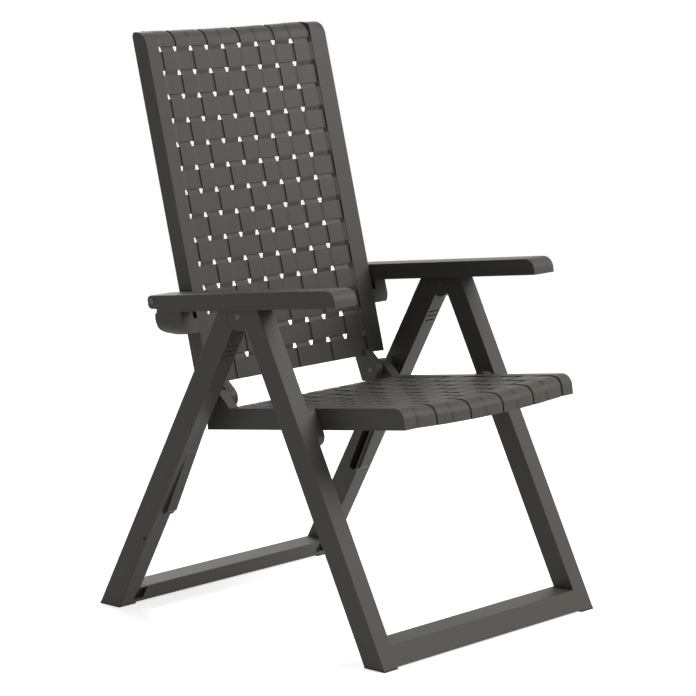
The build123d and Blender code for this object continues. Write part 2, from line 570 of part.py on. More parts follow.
# Seat: tray with a rolled front, holes, hinge lugs and bush seats
with BuildPart() as seat:
    with BuildSketch(Plane.YZ.offset(-SEAT_HALF_WIDTH)) as seat_side:
        with BuildLine():
            Polyline(
                seat_point(-SEAT_REAR, SEAT_TOP - SEAT_RIM),
                seat_point(-SEAT_REAR, SEAT_TOP),
                seat_point(SEAT_FRONT, SEAT_TOP),
                seat_point(SEAT_FRONT, SEAT_TOP - SEAT_RIM),
                close=True,
            )
        make_face()
        fillet(nearest(seat_side, seat_point(SEAT_FRONT, SEAT_TOP)), SEAT_NOSE)
    extrude(amount=2 * SEAT_HALF_WIDTH)
    # Hollow underside
    tray_half_width = SEAT_HALF_WIDTH - SEAT_SIDE_WALL
    tray_front = seat_point(SEAT_FRONT - SEAT_END_WALL, SEAT_TOP - SEAT_PLATE)
    with BuildSketch(Plane.YZ.offset(-tray_half_width)) as tray_side:
        with BuildLine():
            Polyline(
                seat_point(SEAT_END_WALL - SEAT_REAR, SEAT_TOP - SEAT_RIM - OVERRUN),
                seat_point(SEAT_END_WALL - SEAT_REAR, SEAT_TOP - SEAT_PLATE),
                tray_front,
                seat_point(SEAT_FRONT - SEAT_END_WALL, SEAT_TOP - SEAT_RIM - OVERRUN),
                close=True,
            )
        make_face()
        fillet(nearest(tray_side, tray_front), SEAT_NOSE - SEAT_PLATE)
    extrude(amount=2 * tray_half_width, mode=Mode.SUBTRACT)
    for side in (1, -1):
        # Lug outside the knuckle, level with the side of the seat
        lug_in = KNUCKLE_OUT + LUG_GAP
        with BuildSketch(Plane.YZ.offset(side * lug_in)) as lug_side:
            with Locations(HINGE):
                Circle(LUG_RADIUS)
            with BuildLine():
                Polyline(
                    seat_point(LUG_ROOT - SEAT_REAR, SEAT_TOP),
                    seat_point(-SEAT_REAR, SEAT_TOP),
                    seat_point(-SEAT_REAR - LUG_TAIL, SEAT_TOP - SEAT_RIM),
                    seat_point(LUG_ROOT - SEAT_REAR, SEAT_TOP - SEAT_RIM),
                    close=True,
                )
            make_face()
            make_hull(lug_side.edges())
        extrude(amount=side * (SEAT_HALF_WIDTH - lug_in))
        # Hole for the pivot bush
        with BuildSketch(Plane.YZ.offset(side * tray_half_width)):
            with Locations(SEAT_PIVOT):
                Circle(SEAT_PIN_RADIUS + SEAT_BUSH_WALL + SEAT_FIT)
        extrude(amount=side * SEAT_SIDE_WALL, mode=Mode.SUBTRACT)
    with BuildSketch(Plane.YZ.offset(-FRAME_HALF_WIDTH)):
        with Locations(HINGE):
            Circle(HINGE_PIN_RADIUS + RUNNING_FIT)
    extrude(amount=2 * FRAME_HALF_WIDTH, mode=Mode.SUBTRACT)
    # Lattice of holes through the plate
    seat_lattice = Plane(
        origin=(0, *seat_point(SEAT_FIRST_ROW - (SEAT_ROWS - 1) / 2 * HOLE_PITCH, SEAT_TOP)),
        x_dir=(1, 0, 0),
        z_dir=(0, sin(radians(SEAT_TILT)), cos(radians(SEAT_TILT))),
    )
    with BuildSketch(seat_lattice):
        with GridLocations(HOLE_PITCH_X, HOLE_PITCH, HOLE_COLUMNS, SEAT_ROWS):
            Rectangle(HOLE_WIDTH, HOLE_LENGTH)
    extrude(amount=-SEAT_PLATE - RUNNING_FIT, mode=Mode.SUBTRACT)
seat.part.label = "seat"
export_step(seat.part, "parts/seat.step")

# Seat pivot pins, set in the front legs, and the bushes that turn on them
with BuildPart() as seat_pin_right:
    with BuildSketch(Plane.YZ.offset(tray_half_width)):
        with Locations(SEAT_PIVOT):
            Circle(SEAT_PIN_RADIUS)
    extrude(amount=LEG_INNER + SEAT_PIN_DEPTH - tray_half_width)
seat_pin_right.part.label = "seat_pin_right"
export_step(seat_pin_right.part, "parts/seat_pin_right.step")

with BuildPart() as seat_pin_left:
    mirror(seat_pin_right.part, about=Plane.YZ)
seat_pin_left.part.label = "seat_pin_left"
export_step(seat_pin_left.part, "parts/seat_pin_left.step")

with BuildPart() as seat_bush_right:
    with BuildSketch(Plane.YZ.offset(tray_half_width)):
        with Locations(SEAT_PIVOT):
            Circle(SEAT_PIN_RADIUS + SEAT_BUSH_WALL)
            Circle(SEAT_PIN_RADIUS + RUNNING_FIT, mode=Mode.SUBTRACT)
    extrude(amount=SEAT_SIDE_WALL)
seat_bush_right.part.label = "seat_bush_right"
export_step(seat_bush_right.part, "parts/seat_bush_right.step")

with BuildPart() as seat_bush_left:
    mirror(seat_bush_right.part, about=Plane.YZ)
seat_bush_left.part.label = "seat_bush_left"
export_step(seat_bush_left.part, "parts/seat_bush_left.step")

# Backrest: hollow-swept panel with a rolled top, side rails, ears and knuckles
panel_radius = OUTER_COLUMN ** 2 / (2 * PANEL_HOLLOW) + PANEL_HOLLOW / 2
panel_reach = degrees((BACK_HALF_WIDTH - BACK_RAIL_WIDTH + PANEL_LAP) / panel_radius)
sweep_axis = Axis(
    (0, *back_point(0, -panel_radius)), (0, -sin(radians(BACK_LEAN)), -cos(radians(BACK_LEAN)))
)
roll_top = BACK_TOP - ROLL_SAG
roll_front = back_at_height(roll_top, -PANEL_AHEAD)
roll_inner = back_at_height(roll_top - ROLL_WALL, PANEL_BEHIND)
roll_rear = (roll_front[0] + ROLL_DEPTH, roll_top)
roll_rear_inner = (roll_rear[0] - ROLL_WALL, roll_top - ROLL_WALL)
rail_in = BACK_HALF_WIDTH - BACK_RAIL_WIDTH
rail_behind = BACK_RAIL_DEPTH - BACK_RAIL_AHEAD
rail_top_front = back_at_height(BACK_TOP, -BACK_RAIL_AHEAD)
rail_top_rear = back_at_height(BACK_TOP, rail_behind)
shoulder_z = EAR_CENTRE[1] + EAR_SHOULDER
ear_low_front = back_at_height(EAR_CENTRE[1] - EAR_FRONT_BOTTOM, -BACK_RAIL_AHEAD)
ear_high_front = back_at_height(EAR_CENTRE[1] + EAR_FRONT_TOP, -BACK_RAIL_AHEAD)
ear_mid_front = back_at_height(shoulder_z, -BACK_RAIL_AHEAD)
ear_low = polar(EAR_CENTRE, EAR_RADIUS, EAR_RIM_START)
ear_axis = Axis((0, *EAR_CENTRE), (1, 0, 0))
ear_rim_plane = Plane(
    origin=(0, *EAR_CENTRE),
    x_dir=(1, 0, 0),
    z_dir=(0, -sin(radians(EAR_RIM_START)), cos(radians(EAR_RIM_START))),
)
neck_top = polar(ARM_PIVOT, EAR_BOSS_RADIUS, 90 - EAR_NECK_ANGLE)
neck_low = polar(neck_top, EAR_NECK_RUN, -EAR_NECK_ANGLE)
notch_y = EAR_CENTRE[0] + EAR_RADIUS - EAR_NOTCH
sweep_angle = 180 - ARM_TILT + RECLINE_TURN
sweep_foot = polar(ARM_PIVOT, ARM_BOTTOM + EAR_SWEEP_GAP, sweep_angle + 90)
rail_section = Plane(
    origin=(0, *back_point(0, 0)),
    x_dir=(1, 0, 0),
    z_dir=(0, sin(radians(BACK_LEAN)), cos(radians(BACK_LEAN))),
)
with BuildPart() as backrest:
    with BuildSketch(Plane.YZ) as panel_side:
        with BuildLine():
            Polyline(
                back_at_height(PANEL_BOTTOM, -PANEL_AHEAD),
                roll_front,
                roll_rear,
                (roll_rear[0], roll_top - ROLL_DROP),
                (roll_rear_inner[0], roll_top - ROLL_DROP),
                roll_rear_inner,
                roll_inner,
                back_at_height(PANEL_BOTTOM, PANEL_BEHIND),
                close=True,
            )
        make_face()
        fillet(nearest(panel_side, roll_front), BACK_TOP_ROUND)
        fillet(nearest(panel_side, roll_inner), BACK_TOP_ROUND - PANEL_AHEAD - PANEL_BEHIND)
        fillet(nearest(panel_side, roll_rear), BACK_TOP_REAR_ROUND)
    revolve(axis=sweep_axis, revolution_arc=panel_reach)
    # Side rail
    with BuildSketch(Plane.YZ.offset(rail_in)) as rail_side:
        with BuildLine():
            Polyline(
                back_at_height(BACK_RAIL_BOTTOM, -BACK_RAIL_AHEAD),
                rail_top_front,
                rail_top_rear,
                back_at_height(BACK_RAIL_BOTTOM, rail_behind),
                close=True,
            )
        make_face()
        fillet(nearest(rail_side, rail_top_front), BACK_TOP_ROUND)
        fillet(nearest(rail_side, rail_top_rear), BACK_TOP_REAR_ROUND)
    extrude(amount=BACK_RAIL_WIDTH)
    # Ear beside the armrest, kept below the sweep of its inner wall
    with BuildSketch(Plane.YZ.offset(rail_in)):
        with Locations(EAR_CENTRE):
            Circle(EAR_RADIUS)
        with Locations((EAR_CENTRE[0], shoulder_z)):
            Rectangle(2 * EAR_RADIUS, EAR_RADIUS, align=(Align.CENTER, Align.MIN), mode=Mode.SUBTRACT)
        with BuildLine():
            Polyline(
                ear_low_front,
                ear_low,
                EAR_CENTRE,
                (EAR_CENTRE[0], shoulder_z),
                ear_mid_front,
                close=True,
            )
        make_face()
        with BuildLine():
            Polyline(
                polar(sweep_foot, OVERRUN, sweep_angle + 180),
                polar(sweep_foot, 2 * OVERRUN, sweep_angle),
                polar(polar(sweep_foot, 2 * OVERRUN, sweep_angle), OVERRUN, sweep_angle - 90),
                polar(polar(sweep_foot, OVERRUN, sweep_angle + 180), OVERRUN, sweep_angle - 90),
                close=True,
            )
        make_face(mode=Mode.SUBTRACT)
    extrude(amount=EAR_LANE_IN - rail_in)
    # Ear inside the armrest, up to the boss on the armrest pivot
    with BuildSketch(Plane.YZ.offset(EAR_LANE_IN)):
        with Locations(EAR_CENTRE):
            Circle(EAR_RADIUS)
        with Locations((EAR_CENTRE[0], shoulder_z)):
            Rectangle(2 * EAR_RADIUS, EAR_RADIUS, align=(Align.CENTER, Align.MIN), mode=Mode.SUBTRACT)
        with BuildLine():
            Polyline(
                ear_low_front,
                ear_low,
                EAR_CENTRE,
                (notch_y, shoulder_z),
                (notch_y, shoulder_z + EAR_NOTCH_RISE),
                neck_low,
                neck_top,
                polar(ARM_PIVOT, EAR_BOSS_RADIUS, EAR_BOSS_ANGLE),
                ear_high_front,
                close=True,
            )
        make_face()
        with Locations(ARM_PIVOT):
            Circle(EAR_BOSS_RADIUS)
            Circle(ARM_PIN_RADIUS + ARM_BUSH_WALL + 2 * RUNNING_FIT, mode=Mode.SUBTRACT)
    extrude(amount=EAR_OUT - EAR_LANE_IN)
    # Rounded outer rim of the ear
    with BuildSketch(ear_rim_plane):
        with Locations((EAR_OUT - EAR_ROUND, EAR_RADIUS - EAR_ROUND)):
            Rectangle(2 * EAR_ROUND, 2 * EAR_ROUND, align=(Align.MIN, Align.MIN))
            Circle(EAR_ROUND, mode=Mode.SUBTRACT)
    revolve(axis=ear_axis, revolution_arc=EAR_RIM_ARC, mode=Mode.SUBTRACT)
    # Front of the rail, falling back towards its inner edge
    with BuildSketch(rail_section):
        with BuildLine():
            Polyline(
                (rail_in, -RAIL_INNER_AHEAD),
                (BACK_HALF_WIDTH, -BACK_RAIL_AHEAD),
                (BACK_HALF_WIDTH, -BACK_RAIL_AHEAD - OVERRUN),
                (rail_in, -BACK_RAIL_AHEAD - OVERRUN),
                close=True,
            )
        make_face()
    extrude(amount=BACK_TOP, both=True, mode=Mode.SUBTRACT)
    # Knuckle on the hinge, run up into the rail
    with BuildSketch(Plane.YZ.offset(KNUCKLE_IN)) as knuckle_side:
        with Locations((HINGE_Y + KNUCKLE_BEHIND, HINGE_Z)):
            Circle(KNUCKLE_RADIUS)
        with BuildLine():
            Polyline(
                back_at_height(BACK_RAIL_BOTTOM, -RAIL_INNER_AHEAD),
                back_at_height(BACK_RAIL_BOTTOM + PANEL_LAP, -RAIL_INNER_AHEAD),
                back_at_height(BACK_RAIL_BOTTOM + PANEL_LAP, rail_behind),
                back_at_height(BACK_RAIL_BOTTOM, rail_behind),
                polar(HINGE, KNUCKLE_HEEL, KNUCKLE_HEEL_ANGLE),
                close=True,
            )
        make_face()
        make_hull(knuckle_side.edges())
    extrude(amount=KNUCKLE_OUT - KNUCKLE_IN)
    mirror(about=Plane.YZ)
    with BuildSketch(Plane.YZ.offset(-FRAME_HALF_WIDTH)):
        with Locations(HINGE):
            Circle(HINGE_PIN_RADIUS + RUNNING_FIT)
    extrude(amount=2 * FRAME_HALF_WIDTH, mode=Mode.SUBTRACT)
    # Lattice of holes
    back_lattice = Plane(
        origin=(0, *back_point(-(BACK_ROWS - 1) / 2 * HOLE_PITCH, 0)),
        x_dir=(1, 0, 0),
        z_dir=(0, -cos(radians(BACK_LEAN)), sin(radians(BACK_LEAN))),
    )
    with BuildSketch(back_lattice):
        with GridLocations(HOLE_PITCH_X, HOLE_PITCH, HOLE_COLUMNS, BACK_ROWS):
            Rectangle(HOLE_WIDTH, HOLE_LENGTH)
    extrude(amount=PANEL_HOLLOW + PANEL_AHEAD + PANEL_BEHIND, both=True, mode=Mode.SUBTRACT)
backrest.part.label = "backrest"
export_step(backrest.part, "parts/backrest.step")

# Hinge pins through lugs and knuckles, and their rollers in the guide slots
hinge_pin_in = KNUCKLE_IN
roller_in = LEG_INNER - GUIDE_PROUD
with BuildPart() as hinge_pin_right:
    with BuildSketch(Plane.YZ.offset(hinge_pin_in)):
        with Locations(HINGE):
            Circle(HINGE_PIN_RADIUS)
    extrude(amount=roller_in + ROLLER_LENGTH - hinge_pin_in)
hinge_pin_right.part.label = "hinge_pin_right"
export_step(hinge_pin_right.part, "parts/hinge_pin_right.step")

with BuildPart() as hinge_pin_left:
    mirror(hinge_pin_right.part, about=Plane.YZ)
hinge_pin_left.part.label = "hinge_pin_left"
export_step(hinge_pin_left.part, "parts/hinge_pin_left.step")

with BuildPart() as roller_right:
    with BuildSketch(Plane.YZ.offset(roller_in)):
        with Locations(HINGE):
            Circle(ROLLER_RADIUS)
            Circle(HINGE_PIN_RADIUS + RUNNING_FIT, mode=Mode.SUBTRACT)
    extrude(amount=ROLLER_LENGTH)
roller_right.part.label = "roller_right"
export_step(roller_right.part, "parts/roller_right.step")

with BuildPart() as roller_left:
    mirror(roller_right.part, about=Plane.YZ)
roller_left.part.label = "roller_left"
export_step(roller_left.part, "parts/roller_left.step")

# Armrest: channel with a rounded tip, open underneath and at the rear
with BuildPart() as armrest_right:
    with BuildSketch(Plane.YZ.offset(ARM_IN)) as arm_side:
        with BuildLine():
            Polyline(
                arm_point(-ARM_REAR, ARM_TOP),
                arm_point(ARM_TIP, ARM_TOP),
                arm_point(ARM_TIP, -ARM_BOTTOM),
                arm_point(ARM_STEP_END, -ARM_BOTTOM),
                arm_point(ARM_STEP_START, -ARM_REAR_BOTTOM),
                arm_point(-ARM_REAR, -ARM_REAR_BOTTOM),
                close=True,
            )
        make_face()
        fillet(nearest(arm_side, arm_point(ARM_TIP, ARM_TOP)), ARM_TIP_ROUND)
        fillet(nearest(arm_side, arm_point(-ARM_REAR, ARM_TOP)), ARM_REAR_ROUND)
        fillet(nearest(arm_side, arm_point(-ARM_REAR, -ARM_REAR_BOTTOM)), ARM_REAR_ROUND)
    extrude(amount=ARM_WIDTH)
    arm_rim = armrest_right.edges().filter_by(
        lambda e: e.bounding_box().size.X < RUNNING_FIT
        and (e.length > ARM_TIP / 2 or e.center().Y < arm_point(ARM_TIP, 0)[0] + ARM_TIP_ROUND)
        and e.center().Z > arm_point(ARM_TIP / 2, 0)[1]
        and e.center().Z > arm_point((ARM_PIVOT_Y - e.center().Y) / cos(radians(ARM_TILT)), 0)[1]
    )
    fillet(arm_rim, ARM_EDGE_ROUND)
    with BuildSketch(Plane.YZ.offset(ARM_IN + ARM_WALL)) as channel_side:
        channel_tip = arm_point(ARM_TIP - ARM_TIP_WALL, ARM_CEILING)
        with BuildLine():
            Polyline(
                arm_point(-ARM_REAR - OVERRUN, ARM_CEILING),
                channel_tip,
                arm_point(ARM_TIP - ARM_TIP_WALL, -ARM_BOTTOM - OVERRUN),
                arm_point(-ARM_REAR - OVERRUN, -ARM_BOTTOM - OVERRUN),
                close=True,
            )
        make_face()
        fillet(nearest(channel_side, channel_tip), ARM_TIP_ROUND - ARM_TIP_WALL)
    extrude(amount=ARM_WIDTH - 2 * ARM_WALL, mode=Mode.SUBTRACT)
    with BuildSketch(Plane.YZ.offset(ARM_IN)):
        with Locations(ARM_PIVOT):
            Circle(ARM_PIN_RADIUS + RUNNING_FIT)
    extrude(amount=ARM_WIDTH, mode=Mode.SUBTRACT)
armrest_right.part.label = "armrest_right"
export_step(armrest_right.part, "parts/armrest_right.step")

with BuildPart() as armrest_left:
    mirror(armrest_right.part, about=Plane.YZ)
armrest_left.part.label = "armrest_left"
export_step(armrest_left.part, "parts/armrest_left.step")

# Rack of notches under the top of the armrest
rack_in = LEG_MIDDLE - RACK_WIDTH / 2
with BuildPart() as notch_rack_right:
    with BuildSketch(Plane.YZ.offset(rack_in)):
        with BuildLine():
            Polyline(
                arm_point(RACK_START, ARM_CEILING),
                arm_point(RACK_END, ARM_CEILING),
                arm_point(RACK_END, -RACK_UNDERSIDE),
                arm_point(RACK_START, -RACK_UNDERSIDE),
                close=True,
            )
        make_face()
        with Locations(*[arm_point(along, NOTCH_DEPTH - LOCKING_PIN_DROP) for along in NOTCHES]):
            Circle(LOCKING_PIN_RADIUS + NOTCH_FIT, mode=Mode.SUBTRACT)
    extrude(amount=RACK_WIDTH)
notch_rack_right.part.label = "notch_rack_right"
export_step(notch_rack_right.part, "parts/notch_rack_right.step")

with BuildPart() as notch_rack_left:
    mirror(notch_rack_right.part, about=Plane.YZ)
notch_rack_left.part.label = "notch_rack_left"
export_step(notch_rack_left.part, "parts/notch_rack_left.step")

# Armrest pins with a round head outside, and the bushes between pin and ear
with BuildPart() as armrest_pin_right:
    with BuildSketch(Plane.YZ.offset(ARM_IN)):
        with Locations(ARM_PIVOT):
            Circle(ARM_PIN_RADIUS)
    extrude(amount=ARM_WIDTH + ARM_PIN_GAP)
    with BuildSketch(Plane.YZ.offset(ARM_OUT + ARM_PIN_GAP)):
        with Locations(ARM_PIVOT):
            Circle(ARM_PIN_HEAD_RADIUS)
    extrude(amount=ARM_PIN_HEAD)
armrest_pin_right.part.label = "armrest_pin_right"
export_step(armrest_pin_right.part, "parts/armrest_pin_right.step")

with BuildPart() as armrest_pin_left:
    mirror(armrest_pin_right.part, about=Plane.YZ)
armrest_pin_left.part.label = "armrest_pin_left"
export_step(armrest_pin_left.part, "parts/armrest_pin_left.step")

with BuildPart() as armrest_bush_right:
    with BuildSketch(Plane.YZ.offset(EAR_LANE_IN)):
        with Locations(ARM_PIVOT):
            Circle(ARM_PIN_RADIUS + RUNNING_FIT + ARM_BUSH_WALL)
            Circle(ARM_PIN_RADIUS + RUNNING_FIT, mode=Mode.SUBTRACT)
    extrude(amount=EAR_OUT - EAR_LANE_IN)
armrest_bush_right.part.label = "armrest_bush_right"
export_step(armrest_bush_right.part, "parts/armrest_bush_right.step")

with BuildPart() as armrest_bush_left:
    mirror(armrest_bush_right.part, about=Plane.YZ)
armrest_bush_left.part.label = "armrest_bush_left"
export_step(armrest_bush_left.part, "parts/armrest_bush_left.step")
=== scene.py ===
import bpy, bmesh, json
from math import sin, cos, tan, radians, pi
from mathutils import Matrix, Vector


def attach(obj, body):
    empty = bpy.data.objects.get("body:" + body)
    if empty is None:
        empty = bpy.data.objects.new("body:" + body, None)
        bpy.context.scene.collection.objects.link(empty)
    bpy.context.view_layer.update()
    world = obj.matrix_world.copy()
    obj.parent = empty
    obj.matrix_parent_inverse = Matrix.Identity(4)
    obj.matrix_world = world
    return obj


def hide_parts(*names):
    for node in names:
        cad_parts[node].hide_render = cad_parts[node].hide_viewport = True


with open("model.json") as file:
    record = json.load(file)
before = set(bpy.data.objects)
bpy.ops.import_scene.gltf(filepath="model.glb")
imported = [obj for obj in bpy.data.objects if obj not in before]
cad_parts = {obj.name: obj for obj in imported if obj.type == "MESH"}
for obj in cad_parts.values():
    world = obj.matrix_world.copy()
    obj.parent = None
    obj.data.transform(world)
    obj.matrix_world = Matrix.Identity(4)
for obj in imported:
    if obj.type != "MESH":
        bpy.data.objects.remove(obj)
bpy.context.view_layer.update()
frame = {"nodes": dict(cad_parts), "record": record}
nodes = frame["nodes"]

# Materials: lengths in metres
GRAIN, GRAIN_DETAIL = 0.0012, 3               # fine satin grain
SMOOTHER, ROUGHER = 0.05, 0.06                # how far the grain moves the roughness
BUMP, BUMP_DEPTH = 0.05, 0.0004
MOTTLE_SCALE, MOTTLE_DETAIL = 14, 4
MOTTLE = 0.05                                 # share of the colour, up and down
IOR, SPECULAR = 1.45, 0.32
EDGE_RADIUS, EDGE_SAMPLES = 0.0014, 6
EDGE_BEGINS, EDGE_FULL = 0.99, 0.86           # cosine between the true and the rounded normal
HIGHLIGHT_GAIN, HIGHLIGHT_LIFT = 2.6, 0.02                 # colour of the painted highlight on edges
RESIN = (0.066, 0.058, 0.050)


def shader(tree, kind, **values):
    """New shader node with its inputs set, an underscore in a name standing for a space."""
    node = tree.nodes.new("ShaderNode" + kind)
    for name, value in values.items():
        node.inputs[name.replace("_", " ")].default_value = value
    return node


def plastic(name, colour, rough, edge_highlight=0.5, metal=0.0):
    """Moulded resin with a fine satin grain, its edges painted paler as a highlight."""
    m = bpy.data.materials.new(name)
    m.use_nodes = True
    tree = m.node_tree
    link = tree.links.new
    look = tree.nodes["Principled BSDF"]
    look.inputs["IOR"].default_value = IOR
    look.inputs["Specular IOR Level"].default_value = SPECULAR
    look.inputs["Metallic"].default_value = metal
    place = shader(tree, "TexCoord")
    fine = shader(tree, "TexNoise", Scale=1 / GRAIN, Detail=GRAIN_DETAIL)
    broad = shader(tree, "TexNoise", Scale=MOTTLE_SCALE, Detail=MOTTLE_DETAIL)
    link(place.outputs["Object"], fine.inputs["Vector"])
    link(place.outputs["Object"], broad.inputs["Vector"])
    # mottled colour
    share = shader(tree, "MapRange", To_Min=1 - MOTTLE, To_Max=1 + MOTTLE)
    link(broad.outputs["Fac"], share.inputs["Value"])
    tone = shader(tree, "VectorMath")
    tone.operation = "SCALE"
    tone.inputs[0].default_value = colour
    link(share.outputs["Result"], tone.inputs["Scale"])
    # grain in roughness and height
    gloss = shader(tree, "MapRange", To_Min=rough - SMOOTHER, To_Max=rough + ROUGHER)
    link(fine.outputs["Fac"], gloss.inputs["Value"])
    link(gloss.outputs["Result"], look.inputs["Roughness"])
    bump = shader(tree, "Bump", Strength=BUMP, Distance=BUMP_DEPTH)
    link(fine.outputs["Fac"], bump.inputs["Height"])
    link(bump.outputs["Normal"], look.inputs["Normal"])
    # painted highlight: the edges paler
    rounded = shader(tree, "Bevel", Radius=EDGE_RADIUS)
    rounded.samples = EDGE_SAMPLES
    true = shader(tree, "NewGeometry")
    agreement = shader(tree, "VectorMath")
    agreement.operation = "DOT_PRODUCT"
    link(rounded.outputs["Normal"], agreement.inputs[0])
    link(true.outputs["Normal"], agreement.inputs[1])
    edge = shader(tree, "MapRange", From_Min=EDGE_BEGINS, From_Max=EDGE_FULL, To_Min=0, To_Max=edge_highlight)
    link(agreement.outputs["Value"], edge.inputs["Value"])
    highlighted = shader(tree, "Mix")
    highlighted.data_type = "RGBA"
    link(edge.outputs["Result"], highlighted.inputs["Factor"])
    link(tone.outputs["Vector"], highlighted.inputs["A"])
    highlighted.inputs["B"].default_value = (*(v * HIGHLIGHT_GAIN + HIGHLIGHT_LIFT for v in colour), 1)
    link(highlighted.outputs["Result"], look.inputs["Base Color"])
    return m


# resin edges carry a painted highlight; the weave's is fainter, so its strap edges stay dark
resin = plastic("resin", RESIN, rough=0.48, edge_highlight=0.35)
weave_resin = plastic("weave", RESIN, rough=0.48, edge_highlight=0.08)
looks = {
    "resin": resin,
    "insert_plastic": plastic("insert", (0.05, 0.043, 0.038), rough=0.4),
    "foot_plastic": plastic("foot", (0.03, 0.026, 0.024), rough=0.6),
    "bearing_plastic": plastic("bearing", (0.035, 0.03, 0.028), rough=0.35),
    "pin_steel": plastic("pin", (0.09, 0.085, 0.08), rough=0.35, metal=0.6),
}
slot_of = {s["node"]: s["material_slot"] for s in frame["record"]["subparts"]}
for name, o in nodes.items():
    o.data.materials.clear()
    o.data.materials.append(looks[slot_of[name]])

# Woven sheets: lengths in millimetres, as in the solids
METRE = 1000
TILT, LEAN = radians(7.32), radians(14.21)         # seat above level, backrest off the vertical
PIVOT, LATTICE = (-128.0, 411.0), (293.0, 1035.4)  # (y, z) of seat pivot and top row of holes
PITCH_X, PITCH = 44.46, 44.4
GAP_X, GAP = 9.4, 8.8        # holes between the straps
THICK, RISE = 1.8, 1.1       # strap thickness, and its rise over and under the others
STRAP_R, STRAP_BITE = 0.5, 0.3                     # softened edge, and the share cut at its middle
MIDDLE = 5                   # the column of straps at x = 0
COLUMN = [(c - MIDDLE) * PITCH_X for c in range(2 * MIDDLE + 1)]
SHEET_X = 207.0              # the straps across end here, inside the rails
BEND_FROM, BEND_LONG = 0.394, 0.212                # in pitches from a crossing
BEND = (0.36, 0.394, 0.447, 0.5, 0.553, 0.606, 0.64)
BESIDE = 1.5                 # a station this far from a hole, on the flat
CURVE_STEP, NEAR = 2.0, 0.3  # stations on a curve, and where they count as one
WIDE, FEW, MANY = 50, 4, 30  # a strap over this width gets more points across
SHARP, STRAP_SHARP = 20, 32  # edges over these angles stay sharp, in degrees


def profile_point(path, s, w):
    """Point (y, z) at arc length s of a side-view path of lines and arcs, w outside it."""
    for kind, length, data in path:
        if s <= length or (kind, length, data) == path[-1]:
            if kind == "line":
                (y, z), (dy, dz), (ny, nz) = data
                return y + dy * s + ny * w, z + dz * s + nz * w
            (y, z), radius, start, turn = data
            a = start + turn * s / length
            return y + (radius + w) * cos(a), z + (radius + w) * sin(a)
        s -= length


def ease(t):
    t = min(1, max(0, t))
    return t * t * (3 - 2 * t)


def wave(t):
    """Height of a strap, 1 over and -1 under, t pitches from a crossing where it is over."""
    t = abs(t) % 2
    t = 2 - t if t > 1 else t
    return 1 - 2 * ease((t - BEND_FROM) / BEND_LONG)


def over_under(q, index):
    """Height at x = q of the band across with this index."""
    k = min(range(len(COLUMN)), key=lambda i: abs(COLUMN[i] - q))
    sign = 1 if (k + index) % 2 == 0 else -1
    return RISE * sign * wave((q - COLUMN[k]) / PITCH_X)


def stations(a, b, step):
    n = max(1, round((b - a) / step))
    return [a + (b - a) * i / n for i in range(n + 1)]


def sift(stops, low, high):
    """The stations from low to high in order, without those too near to the one before."""
    stops = sorted(q for q in stops if low <= q <= high)
    return [q for i, q in enumerate(stops) if i == 0 or q - stops[i - 1] > NEAR]


def section(half, steps=FEW):
    """Offsets and heights round a strap with softened edges."""
    r, h, bite = STRAP_R, THICK / 2, STRAP_R * STRAP_BITE
    flat = [-half + r + (2 * half - 2 * r) * i / steps for i in range(steps + 1)]
    ring = [(-half, -h), (-half, h - r), (-half + bite, h - bite)] + [(x, h) for x in flat]
    ring += [(half - bite, h - bite), (half, h - r), (half, -h)]
    return ring + [(x, -h) for x in flat[::-1]][1:-1]


def bridge(bm, rings, capped=True):
    """Faces from each ring of vertices to the next, and over both ends."""
    n = len(rings[0])
    for r0, r1 in zip(rings, rings[1:]):
        for i in range(n):
            bm.faces.new((r0[i], r0[(i + 1) % n], r1[(i + 1) % n], r1[i]))
    if capped:
        bm.faces.new(rings[0][::-1])
        bm.faces.new(rings[-1])


def strap(bm, place, along, ring, centre, height, vertical):
    """Closed strap with this section round its middle line, through the stations along it."""
    rings = []
    for q in along:
        h = height(q)
        rings.append([bm.verts.new(place(centre + a, q, h + b) if vertical
                                   else place(q, centre + a, h + b)) for a, b in ring])
    bridge(bm, rings)


def band_list(last, rows, start, end):
    """Bands (index, from, to) between rows of holes, numbered back from the one at last."""
    row = [last - PITCH * r for r in range(rows)]
    bands = [(rows - 1, start, row[-1] - GAP / 2)]
    bands += [(b, row[b + 1] + GAP / 2, row[b] - GAP / 2) for b in range(rows - 2, -1, -1)]
    return bands + [(-1, row[0] + GAP / 2, end)]


def weave(name, place, bands, low, high, curve, node):
    """Straps along the sheet from low to high at the inner columns, and the bands across."""
    bm = bmesh.new()
    stops = [low, high] + stations(*curve, CURVE_STEP)
    for i, a, b in bands:
        stops += [a + BESIDE, a, a - GAP / 4, a - GAP / 2, a - GAP * 3 / 4]
        stops += [b - BESIDE, b, (a + b) / 2]
    stops = sift(stops, low, high)
    for c in range(1, len(COLUMN) - 1):
        sign = [1 if (c + i) % 2 else -1 for i, a, b in bands]

        def height(q, sign=sign):
            for (i, a, b), s in zip(bands, sign):
                if a <= q <= b:
                    return RISE * s
            for k in range(len(bands) - 1):
                end, begin = bands[k][2], bands[k + 1][1]
                if end < q < begin:
                    t = (q - end) / (begin - end)
                    return RISE * (sign[k] + (sign[k + 1] - sign[k]) * ease(t))
            return RISE * (sign[0] if q < bands[0][1] else sign[-1])
        strap(bm, place, stops, section((PITCH_X - GAP_X) / 2), COLUMN[c], height, True)
    stops = [-SHEET_X, SHEET_X] + COLUMN
    for x in COLUMN:
        stops += [x + side * PITCH_X * t for t in BEND for side in (-1, 1)]
    stops = sift(stops, -SHEET_X, SHEET_X)
    for i, a, b in bands:
        ring = section((b - a) / 2, FEW if b - a < WIDE else MANY)
        strap(bm, place, stops, ring, (a + b) / 2, lambda q, i=i: over_under(q, i), False)
    o = dress(name, bm, weave_resin, STRAP_SHARP)
    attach(o, node)


